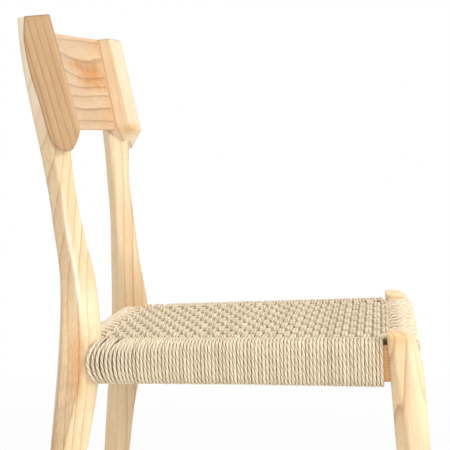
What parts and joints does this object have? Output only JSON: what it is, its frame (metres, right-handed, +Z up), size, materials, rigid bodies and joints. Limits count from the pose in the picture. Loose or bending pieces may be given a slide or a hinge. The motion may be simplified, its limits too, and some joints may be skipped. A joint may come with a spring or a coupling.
{
  "type": "side chair with woven cord seat",
  "caption": "Wooden side chair with splayed, shaped legs, a curved back board held between flat heads of the rear legs, and a seat of woven cord.",
  "frame": {"origin": "on the floor, under the middle of the whole chair's length and width", "axes": "+Z up; the chair faces -Y; +X is the left-hand side of someone who sits in it"},
  "size_m": [0.4968, 0.576, 0.8512],
  "materials": {
    "pale_wood": "satin lacquer",
    "rail_wood": "satin lacquer",
    "paper_cord": "matt twisted paper cord",
    "nail_steel": "plain steel",
    "glide_plastic": "matt"
  },
  "bodies": {
    "root": {"rear_leg_left": "pale_wood", "rear_leg_right": "pale_wood", "front_leg_left": "pale_wood", "front_leg_right": "pale_wood", "back_board": "pale_wood", "seat_rail_front": "rail_wood", "seat_rail_rear": "rail_wood", "seat_rail_left": "rail_wood", "seat_rail_right": "rail_wood", "back_board_dowels": "rail_wood", "seat_weft": "paper_cord", "seat_warp": "paper_cord", "cord_wrap_front": "paper_cord", "cord_wrap_rear": "paper_cord", "cord_wrap_left": "paper_cord", "cord_wrap_right": "paper_cord", "cord_nails_left": "nail_steel", "cord_nails_right": "nail_steel", "cord_nails_front": "nail_steel", "cord_nails_rear": "nail_steel", "foot_glides": "glide_plastic"}
  },
  "joints": []
}
